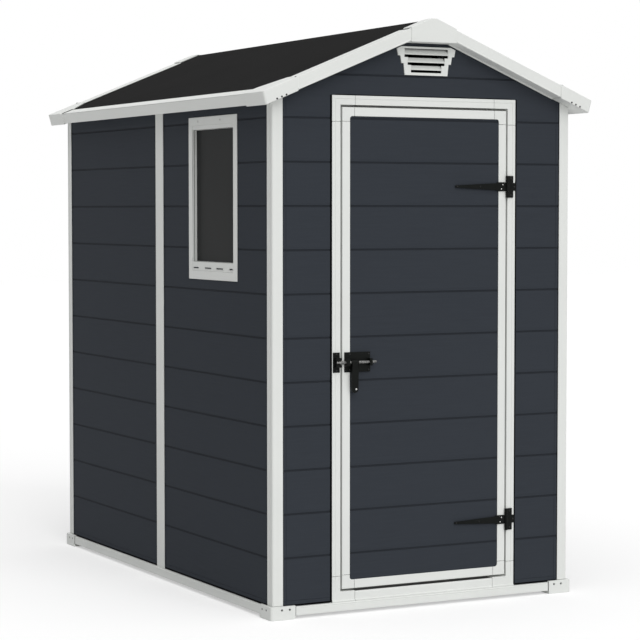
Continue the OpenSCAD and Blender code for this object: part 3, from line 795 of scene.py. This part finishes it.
class SHED_OT_boards(bpy.types.Operator):
    """Make the wall and gable panels, grooved into boards"""
    bl_idname = "shed.boards"
    bl_label = "Wall boards"

    def execute(self, context):
        sizes = context.scene.shed_sizes
        wide, deep, inset = sizes.gap_width, 0.006, sizes.line_inset
        # The gaps, the seams and the channel over the rail are cut with full painted shade in their depths
        gap, seam = channel(wide, deep), channel(sizes.seam_width, deep)
        fine = fine_line(sizes.line_width, 0.0012)

        def beside(way, post, toward):
            """The seam and the fine line of a panel by a post's edge, which lie toward its middle."""
            return [upright(way * (post + toward * sizes.seam_width / 2), seam, 1),
                    upright(way * (post + toward * inset), fine, 0.3)]

        foot = [level(RAIL_TOP + 0.0035, channel(0.006, deep), 1), level(RAIL_TOP + 0.006 + inset, fine, 0.3)]
        post_x, post_y = FACE_X - POST_X, FACE_Y - POST_Y
        for side, name in zip(SIDES, ("left", "right")):
            frame_gap = upright(side * (FRAME_X + wide / 2), gap, 1, FRAME_TOP + 0.001)
            cut_boards(f"front_wall_{name}", f"boards_front_{name}", "shed", (0, FRONT, 0),
                       [*foot, frame_gap, *beside(side, post_x, -1)])
            for end, part in zip(ENDS, ("front", "back")):
                cut_boards(f"{name}_wall_{part}", f"boards_{name}_{part}", "shed", (side, 0, 0),
                           foot + beside(end, MID_POST, 1) + beside(end, post_y, -1))
        # The gap over the door's frame, in full painted shade
        lines = [level(FRAME_TOP + wide / 4, channel(wide / 2, deep), 1)]
        cut_boards("front_gable", "boards_front_gable", "shed", (0, FRONT, 0), lines, vent_pockets(FRONT))
        lines = beside(LEFT, post_x, -1) + beside(RIGHT, post_x, -1)
        cut_boards("back_wall", "boards_back", "shed", (0, BACK, 0), foot + lines)
        cut_boards("back_gable", "boards_back_gable", "shed", (0, BACK, 0), lines, vent_pockets(BACK))
        return {"FINISHED"}


def sunk(spots, depth):
    """Some spots, each a place and the way that it faces, moved into their surface."""
    return [(Vector(at) - Vector(out) * depth, out) for at, out in spots]


class SHED_OT_base(bpy.types.Operator):
    """Make the floor panel, the base rails and their corner brackets"""
    bl_idname = "shed.base"
    bl_label = "Base"

    def execute(self, context):
        radius = context.scene.shed_sizes.rail_round
        round_off("floor_panel", "shed", "floor", 0.002, "floor")
        # A fine line along the rails, and a narrow gap where they meet the brackets' arms, its depths in
        # painted shade
        line, line_z = fine_line(0.003, 0.0013), RAIL_TOP - 0.0058
        gap, gap_x, gap_y = channel(0.003, 0.003), BRACKET_X - ARM_X - 0.0015, BRACKET_Y - ARM_Y - 0.0015
        cuts = [bar((-1, end * BASE_Y, line_z), (1, end * BASE_Y, line_z), (0, end, 0), line, 0.08)
                for end in ENDS]
        cuts += [bar((side * gap_x, end * BASE_Y, 0), (side * gap_x, end * BASE_Y, 0.1), (0, end, 0),
                     gap, 0.7) for side, end in CORNERS]
        round_off("rails_ends", "shed", "trim", radius, "base_rails_ends", cuts=cuts)
        cuts = [bar((side * BASE_X, -1, line_z), (side * BASE_X, 1, line_z), (side, 0, 0), line, 0.08)
                for side in SIDES]
        cuts += [bar((side * BASE_X, end * gap_y, 0), (side * BASE_X, end * gap_y, 0.1), (side, 0, 0),
                     gap, 0.7) for side, end in CORNERS]
        round_off("rails_sides", "shed", "trim", radius, "base_rails_sides", cuts=cuts)
        spots = []
        for side, end in CORNERS:
            spots += [((side * (BRACKET_X - x), end * BRACKET_Y, BRACKET_TOP - 0.012), (0, end, 0))
                      for x in (0.0405, 0.0695)]
            spots += [((side * BRACKET_X, end * (BRACKET_Y - y), BRACKET_TOP - 0.0145), (side, 0, 0))
                      for y in (0.038, 0.068)]
        # The screws sit in countersunk dimples with painted shade
        depth = 0.0018
        round_off("base_brackets", "shed", "trim", 0.0012, "base_corners",
                  cuts=[dimple(at, out, 0.0046, depth) for at, out in spots])
        screws("screws_base", "shed", sunk(spots, depth), -0.0003)
        return {"FINISHED"}


class SHED_OT_posts(bpy.types.Operator):
    """Make the corner posts and the middle posts of the side walls"""
    bl_idname = "shed.posts"
    bl_label = "Posts"

    def execute(self, context):
        radius = context.scene.shed_sizes.trim_round
        # A shallow channel up each post's side, and a joint round its foot, over the bracket, whose faces
        # take painted shade
        channels = [block((side * (FACE_X - 0.0018), end * (FACE_Y - 0.009), 0),
                          (side * (FACE_X + 0.002), end * (FACE_Y - 0.024), 2)) for side, end in CORNERS]
        height, depth = 0.0016, 0.0012
        joints = [block((side * (FACE_X - x), end * (FACE_Y - y), BRACKET_TOP),
                        (side * (FACE_X + 0.002), end * (FACE_Y + 0.002), BRACKET_TOP + height), 0.4)
                  for side, end in CORNERS for x, y in ((0.05, depth), (depth, 0.05))]
        round_off("posts_corner", "shed", "trim", radius, "corner_posts", carves=channels, cuts=joints)
        round_off("posts_middle", "shed", "trim", radius, "side_posts")
        return {"FINISHED"}


class SHED_OT_roof(bpy.types.Operator):
    """Make the roof panels, with a groove along their trims, and the ridge beam"""
    bl_idname = "shed.roof"
    bl_label = "Roof panels"

    def execute(self, context):
        rake_y, eave_u = RAKE_Y - RAKE_FLANGE - 0.002, EAVE_U - EAVE_FLANGE - 0.002
        seam_u = SEAM_X / math.cos(SLOPE)
        lines = [((eave_u, -SEAM_Y), (eave_u, SEAM_Y))]
        for end in ENDS:
            lines += [((0, end * rake_y), (seam_u, end * rake_y)),
                      ((seam_u - 0.001, end * rake_y), (eave_u, end * (SEAM_Y - 0.001)))]
        for side, name in zip(SIDES, ("left", "right")):
            # The grooves along the trims, in full painted shade
            cuts = [bar(roof_point(side, u, 0, y), roof_point(side, far_u, 0, far_y), off_roof(side),
                        channel(0.004, 0.004), 1) for (u, y), (far_u, far_y) in lines]
            round_off(f"roof_sheet_{name}", "shed", "roof", 0.001, f"roof_{name}", cuts=cuts)
        round_off("ridge_rail", "shed", "trim", 0.003, "ridge_beam")
        return {"FINISHED"}


def lean(mesh):
    """Brings the foot of the eaves' outer faces forward, so that they lean less than the slope."""
    for vertex in mesh.vertices:
        side = math.copysign(1, vertex.co.x)
        x, z = abs(vertex.co.x), vertex.co.z - RIDGE_Z
        u = x * math.cos(SLOPE) - z * math.sin(SLOPE)
        w = x * math.sin(SLOPE) + z * math.cos(SLOPE)
        if u > EAVE_U - 0.002:
            shift = max(0, TRIM_TOP - w) * EAVE_LEAN
            vertex.co += Vector((side * math.cos(SLOPE), 0, -math.sin(SLOPE))) * shift
    return mesh


def with_gusset(mesh):
    """Fills the inner corner between a corner piece's two flanges, up to a slanting edge."""
    inner, eave_x = RAKE_Y - RAKE_FLANGE, (EAVE_U - EAVE_FLANGE) * math.cos(SLOPE)
    moves = {(WALL_X, WALL_Y): ((SEAM_X + eave_x) / 2, (inner + SEAM_Y) / 2),
             (SEAM_X, WALL_Y): (SEAM_X, inner)}
    for vertex in mesh.vertices:
        x, y, z = vertex.co
        over = abs(x) * math.sin(SLOPE) + (z - RIDGE_Z) * math.cos(SLOPE)
        for (old_x, old_y), (new_x, new_y) in moves.items():
            if over > -0.0008 and math.hypot(abs(x) - old_x, abs(y) - old_y) < NEAR:
                vertex.co = roof_over(math.copysign(new_x, x), over, math.copysign(new_y, y))
                break
    return mesh


def soft_edge(mesh, radius):
    """Rounds the upright edges at the outer corners of the roof."""
    def is_outer(edge):
        tall = abs(edge.verts[0].co.z - edge.verts[1].co.z) > 0.03
        return tall and edge.calc_face_angle(0) > 1 and all(
            abs(vertex.co.y) > CORNER_Y - 1e-4 and abs(vertex.co.x) > SEAM_X + 0.09 for vertex in edge.verts)

    shape = opened(mesh)
    outer = [edge for edge in shape.edges if is_outer(edge)]
    bmesh.ops.bevel(shape, geom=outer, offset=radius, segments=8, profile=0.5, affect="EDGES")
    return written(shape, mesh)


class SHED_OT_roof_trims(bpy.types.Operator):
    """Make the rake and eave trims, the roof's corner pieces and the apex caps"""
    bl_idname = "shed.roof_trims"
    bl_label = "Roof trims"

    def execute(self, context):
        sizes = context.scene.shed_sizes
        apex_u, eave_u = APEX_X / math.cos(SLOPE), EAVE_U - EAVE_FLANGE

        def rake_ys(end):
            """The rake trims' flange at one end of the roof, from its outer bevel to its inner edge."""
            return end * (RAKE_Y - 0.012), end * (RAKE_Y - RAKE_FLANGE - 0.003)

        # The trims run on under the corner pieces and caps, with a notch at each joint
        seams_x = (0, [side * x for side in SIDES for x in (APEX_X, SEAM_X)])
        for end, name in zip(ENDS, ("front", "back")):
            notches = [roof_block(side, (apex_u - 0.004, apex_u + 0.004), (-0.0005, CAP_TOP), rake_ys(end))
                       for side in SIDES]
            round_off(f"rakes_{name}", "shed", "trim", sizes.roof_round, f"rake_trims_{name}",
                      seams=[seams_x], gap=-0.002, carves=notches)
        notches = [roof_block(side, (eave_u - 0.002, EAVE_U - 0.001), (-0.012, CAP_TOP),
                              (end * (SEAM_Y - 0.0042), end * (SEAM_Y + 0.002))) for side, end in CORNERS]
        mesh = open_seams(merged("eaves", "eave_trims"), 1, (-SEAM_Y, SEAM_Y), -0.002)
        keep(rounded("eaves", lean(carved(mesh, notches)), sizes.roof_round), "shed", "trim",
             finish("trim"), "eave_trims")
        round_off("soffits", "shed", "trim", 0.001, "eave_soffits")

        low, top, cuts = [], [], []
        for side, end in CORNERS:
            spots = [(roof_over(side * (ROOF_X - x), -0.0345, end * CORNER_Y), (0, end, 0))
                     for x in (0.0863, 0.0695, 0.0522)]
            low += sunk(spots, 0.0016)
            top.append((roof_over(side * 0.521, CAP_TOP, end * (CORNER_Y - 0.006)), off_roof(side)))
            # The screws' dimples, and the corner piece's end face at each seam, in full painted shade
            cuts += [dimple(at, out, 0.0034, 0.0015, 1) for at, out in spots]
            cuts.append(roof_block(side, (eave_u - 0.006, EAVE_U - 0.0015), (-0.001, 0.008),
                                   (end * (SEAM_Y - 0.002), end * (SEAM_Y + 0.0012)), 1))
        mesh = soft_edge(lean(with_gusset(merged("roof_ends", "roof_corners"))), 0.008)
        keep(rounded("roof_ends", mesh, sizes.cap_round, 4, cuts), "shed", "trim", finish("trim"),
             "roof_corners")
        screws("screws_roof_low", "shed", low, -0.0006)
        screws("screws_roof_top", "shed", top, 0.0006)
        # The caps' end faces over the rake trims, in full painted shade
        cuts = [roof_block(side, (apex_u - 0.0012, apex_u + 0.002), (-0.0005, 0.008), rake_ys(end), 1)
                for side, end in CORNERS]
        round_off("ridge_caps", "shed", "trim", sizes.cap_round - 0.0008, "apex_caps", cuts=cuts)

        lines = []
        eave_foot = EAVE_U + (TRIM_TOP - TRIM_FOOT) * EAVE_LEAN
        for side, end in CORNERS:
            for w, y in ((TRIM_FOOT + 0.0028, RAKE_Y - 0.0012), (TRIM_FOOT - 0.0018, WALL_Y + 0.003)):
                lines.append([roof_over(side * x, w, end * y) for x in (APEX_X + 0.001, SEAM_X - 0.001)])
            lines.append([roof_point(side, u, w, end * (SEAM_Y - 0.0012)) for u, w in (
                (EAVE_U, TRIM_TOP - 0.002), (eave_foot, TRIM_FOOT + 0.001))])
        beads("trim_beads", "shed", 0.003, lines)
        return {"FINISHED"}


class SHED_OT_door_frame(bpy.types.Operator):
    """Make the fixed frame of the doorway"""
    bl_idname = "shed.door_frame"
    bl_label = "Door frame"

    def execute(self, context):
        radius = context.scene.shed_sizes.trim_round
        heights, reach = (2, (FRAME_LOW.z, FRAME_HIGH.z)), (0, (HEAD_LOW.x, HEAD_HIGH.x))
        edge, edge_z, inside = FRAME_X - 0.012, FRAME_TOP - 0.012, FRAME_X - 0.032
        line = fine_line(0.002, 0.0014)
        chamfer = [(-0.006, 0.001), (-0.006, 0), (0.0008, -0.006), (0.0015, 0.001)]

        def on_front(x, z, far_x, far_z, profile):
            """A cut along a line on the frame's front face."""
            return bar((x, -FACE_Y, z), (far_x, -FACE_Y, far_z), (0, -1, 0), profile)

        def side_lines():
            return [on_front(side * edge, SILL_TOP, side * edge, edge_z, line) for side in SIDES]

        def top_line():
            return [on_front(-edge, edge_z, edge, edge_z, line)]

        def leaf_gap(z):
            """The gap over or under the leaf, its cut faces in full painted shade."""
            return block((-HEAD_HIGH.x - 0.001, 0.0035 - FACE_Y, z - 0.004),
                         (HEAD_HIGH.x + 0.001, LEAF_HIGH.y, z + 0.004), 1)

        round_off("doorway_jambs", "shed", "trim", radius, "frame_jambs", seams=[heights], cuts=side_lines())
        round_off("doorway_head", "shed", "trim", radius, "frame_head", seams=[reach],
                  cuts=[*top_line(), leaf_gap(HEAD_Z)])
        round_off("doorway_sill", "shed", "trim", radius, "frame_sill", seams=[reach],
                  carves=[on_front(-inside, SILL_TOP, inside, SILL_TOP, chamfer)], cuts=[leaf_gap(SILL_TOP)])
        round_off("doorway_corners", "shed", "trim", radius, "frame_corners", seams=[heights, reach],
                  cuts=side_lines() + top_line())
        return {"FINISHED"}


class SHED_OT_door(bpy.types.Operator):
    """Make the door leaf: the rim and the grooved panel in it"""
    bl_idname = "shed.door"
    bl_label = "Door leaf"

    def execute(self, context):
        radius = context.scene.shed_sizes.trim_round
        low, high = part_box("door_stiles")
        heights, reach = (2, (low.z, high.z)), (0, (LEAF_LOW.x, LEAF_HIGH.x))
        round_off("leaf_stiles", "door", "trim", radius, "door_stiles", seams=[heights])
        round_off("leaf_rails", "door", "trim", radius, "door_rails", seams=[reach])
        round_off("leaf_corners", "door", "trim", radius, "door_corners", seams=[heights, reach])
        cut_boards("door_panel", "boards_door", "door", (0, FRONT, 0))
        return {"FINISHED"}


def on_door(places, face):
    """Spots for screws that face forward, from their places along X and their heights."""
    return [((x, face, z), (0, FRONT, 0)) for x, z in places]


class SHED_OT_hinges(bpy.types.Operator):
    """Make the hinge plates, the straps across the door and their screws"""
    bl_idname = "shed.hinges"
    bl_label = "Hinges"

    def execute(self, context):
        radius = context.scene.shed_sizes.iron_round
        round_off("hinge_leaves", "shed", "iron", radius, "hinge_plates")
        round_off("hinge_bands", "door", "iron", radius, "hinge_straps")
        half_plate, face = 0.0375, -FACE_Y - 0.004
        plates, straps, bands = [], [], []
        for z in (PLATE_LOW.z + half_plate, PLATE_HIGH.z - half_plate):
            plates += [(0.339, z - 0.029), (0.339, z + 0.029), (0.353, z)]
            straps += [(0.3067, z + 0.0072), (0.3013, z - 0.0078)]
            bands += [(0.2155, z), (0.1235, z)]
        screws("screws_plates", "shed", on_door(plates, face), 0.0004)
        screws("screws_straps", "door", on_door(straps, face), -0.0006, "steel")
        screws("screws_bands", "door", on_door(bands, face), -0.0004)
        return {"FINISHED"}


class SHED_OT_latch(bpy.types.Operator):
    """Make the latch: keeper, plate, bolt and handle"""
    bl_idname = "shed.latch"
    bl_label = "Latch"

    def execute(self, context):
        radius = context.scene.shed_sizes.iron_round
        face, middle = -FACE_Y - 0.003, (BOLT_LOW.z + BOLT_HIGH.z) / 2
        round_off("keeper", "shed", "iron", radius, "latch_keeper")
        round_off("bolt_plate", "door", "iron", radius, "latch_plate")
        round_off("slide_bolt", "bolt", "iron", 0.0012, "latch_bolt", coat="bolt")
        round_off("bolt_handle", "handle", "iron", 0.0016, "latch_handle")
        places = [(KEEPER_LOW.x + 0.013, middle + z) for z in (-0.0275, 0.0275)]
        screws("screws_keeper", "shed", on_door(places, face))
        places = [(x, middle + z) for x in (LATCH_LOW.x + 0.02, LATCH_HIGH.x - 0.006)
                  for z in (-0.0265, 0.0265)]
        screws("screws_plate", "door", on_door(places, face))
        low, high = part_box("latch_handle")
        # A bright steel rivet near the handle's tip, which also stands in for the highlight on the tip's curl
        places = [((low.x + high.x) / 2 + 0.003, low.z + 0.012)]
        screws("rivet_handle", "handle", on_door(places, low.y), 0.0004, "steel")
        return {"FINISHED"}


class SHED_OT_window(bpy.types.Operator):
    """Make the window frame, with its stepped opening and drain slots, and its pane"""
    bl_idname = "shed.window"
    bl_label = "Window"

    def execute(self, context):
        face, step, border, groove = -FACE_X, 0.0015, 0.030, 0.003
        front, rear = PANE_LOW.y - step, PANE_HIGH.y + step
        carves = [block((face - 0.002, front, low), (face + deep, rear, high)) for low, high, deep in (
            (PANE_LOW.z - step, PANE_HIGH.z + step, 0.0085), (PANE_HIGH.z, WINDOW_HIGH.z - border, 0.0025),
            (WINDOW_LOW.z + border, PANE_LOW.z, 0.0025))]
        # The drain slots: the middle of each along Y, and its length
        drains = ((-0.32, 0.044), (-0.42, 0.055), (-0.515, 0.055), (-0.606, 0.026))
        low, high = WINDOW_LOW.z + 0.0385, WINDOW_LOW.z + 0.0425
        carves += [block((face - 0.001, y - long / 2, low), (face + 0.0032, y + long / 2, high))
                   for y, long in drains]
        # Two screw dimples in the top band, in painted shade
        cuts = [dimple((face, WINDOW_HIGH.y - reach, WINDOW_HIGH.z - 0.015), (LEFT, 0, 0), 0.004, 0.0015)
                for reach in (0.08, 0.262)]
        # A groove round the pane, in painted shade
        cuts.append(block((face + 0.0072, PANE_LOW.y - groove, PANE_LOW.z - groove),
                          (face + 0.0096, PANE_HIGH.y + groove, PANE_HIGH.z + groove), 0.75))
        round_off("window_border", "shed", "trim", 0.002, "window_frame", carves=carves, cuts=cuts)
        round_off("window_sheet", "shed", "pane", 0.0006, "window_pane")
        return {"FINISHED"}


class SHED_OT_vents(bpy.types.Operator):
    """Make the two gable vents with their sloping slats"""
    bl_idname = "shed.vents"
    bl_label = "Gable vents"

    def execute(self, context):
        carves, slats = [], []
        for end in ENDS:
            for top, foot, half, thick in vent_tiers():
                face, deep, slot = end * (WALL_Y + thick), end * (WALL_Y - 0.010), foot + 0.0086
                carves.append(block((-half, face + end * 0.002, foot), (half, end * (WALL_Y - 0.002), top)))
                slats.append(hexahedron([(x, y, z) for x in (-half - 0.0025, half + 0.0025) for y, z in (
                    (face, slot), (face, slot + 0.0025), (deep, top - 0.003), (deep, top))]))
        mesh = joined([mark(carved(merged("vents", "vents"), carves)), *slats])
        keep(rounded("vent_covers", mesh, 0.0005), "shed", "trim", finish("trim"), "vents")
        return {"FINISHED"}


# ---- Stage ----

def seen_by(tree):
    """1 for the rays that show a backdrop: from the camera, or by a reflection or through a sheet."""
    rays = add(tree, "ShaderNodeLightPath")
    seen = rays["Is Camera Ray"]
    for name in ("Is Glossy Ray", "Is Transmission Ray"):
        seen = add(tree, "ShaderNodeMath", {0: seen, 1: rays[name]}, operation="MAXIMUM")[0]
    return seen


def soft_sun(name, power, toward, angle):
    """A broad light from afar that shines toward a direction. Its angle is in degrees."""
    lamp = bpy.data.lights.new(name, "SUN")
    lamp.energy, lamp.angle = power, math.radians(angle)
    sun = link(name, lamp)
    sun.rotation_euler = Vector(toward).to_track_quat("-Z", "Y").to_euler()


def ground_coat(stage):
    """The floor: a plain matt sheet that glows where it is seen and keeps the shed's shadow."""
    material = bpy.data.materials.new("white_ground")
    material.use_nodes = True
    tree = material.node_tree
    tree.nodes.remove(tree.nodes["Principled BSDF"])
    bounce = add(tree, "ShaderNodeBsdfDiffuse", {"Color": (*[stage.floor_bounce] * 3, 1)})
    matt = add(tree, "ShaderNodeBsdfDiffuse", {"Color": (*stage.floor, 1)})
    glow = add(tree, "ShaderNodeEmission", {"Strength": stage.floor_glow})
    shown = add(tree, "ShaderNodeAddShader", {0: matt[0], 1: glow[0]})
    either = add(tree, "ShaderNodeMixShader", {"Fac": seen_by(tree), 1: bounce[0], 2: shown[0]})
    tree.links.new(either[0], tree.nodes["Material Output"].inputs["Surface"])
    return material


class SHED_OT_stage(bpy.types.Operator):
    """Make the floor, the soft lights and the camera"""
    bl_idname = "shed.stage"
    bl_label = "Stage"

    def execute(self, context):
        scene, stage = context.scene, context.scene.shed_stage
        half = stage.floor_size / 2
        corners = [(-half, -half, 0), (half, -half, 0), (half, half, 0), (-half, half, 0)]
        ground = link("ground", mesh_from("ground", corners, [(0, 1, 2, 3)]))
        ground.data.materials.append(ground_coat(stage))

        scene.world = bpy.data.worlds.new("plain_sky")
        scene.world.use_nodes = True
        tree = scene.world.node_tree
        sky = tree.nodes["Background"].inputs
        sky["Color"].default_value = (1, 1, 1, 1)
        tree.links.new(ramp(tree, seen_by(tree), 0, 1, stage.sky, 1), sky["Strength"])

        soft_sun("key_light", stage.key, (0.02, 0.88, -0.47), 45)
        soft_sun("top_light", stage.top, (0.05, 0.19, -0.98), 70)

        camera = bpy.data.cameras.new("camera")
        camera.lens, camera.clip_end = stage.camera_lens, 200
        scene.camera = link("camera", camera)
        scene.camera.location, scene.camera.rotation_euler = stage.camera_place, stage.camera_turn
        scene.view_settings.view_transform = "Standard"
        return {"FINISHED"}


OPERATORS = (
    SHED_OT_base, SHED_OT_posts, SHED_OT_boards, SHED_OT_roof, SHED_OT_roof_trims, SHED_OT_door_frame,
    SHED_OT_door, SHED_OT_hinges, SHED_OT_latch, SHED_OT_window, SHED_OT_vents, SHED_OT_stage,
)


class SHED_PT_panel(bpy.types.Panel):
    """The shed's pieces, in the order in which they are made"""
    bl_idname = "SHED_PT_panel"
    bl_label = "Garden shed"
    bl_space_type = "VIEW_3D"
    bl_region_type = "UI"
    bl_category = "Shed"

    def draw(self, context):
        for operator in OPERATORS:
            self.layout.operator(operator.bl_idname)
        for group in (context.scene.shed_sizes, context.scene.shed_colours, context.scene.shed_stage):
            box = self.layout.box()
            for name in group.__annotations__:
                box.prop(group, name)


CLASSES = (ShedSizes, ShedColours, ShedStage, *OPERATORS, SHED_PT_panel)


def register():
    for cls in CLASSES:
        bpy.utils.register_class(cls)
    bpy.types.Scene.shed_sizes = bpy.props.PointerProperty(type=ShedSizes)
    bpy.types.Scene.shed_colours = bpy.props.PointerProperty(type=ShedColours)
    bpy.types.Scene.shed_stage = bpy.props.PointerProperty(type=ShedStage)


def unregister():
    del bpy.types.Scene.shed_stage
    del bpy.types.Scene.shed_colours
    del bpy.types.Scene.shed_sizes
    for cls in reversed(CLASSES):
        bpy.utils.unregister_class(cls)


def main():
    register()
    for operator in OPERATORS:
        group, name = operator.bl_idname.split(".")
        getattr(getattr(bpy.ops, group), name)()


if __name__ == "__main__":
    main()
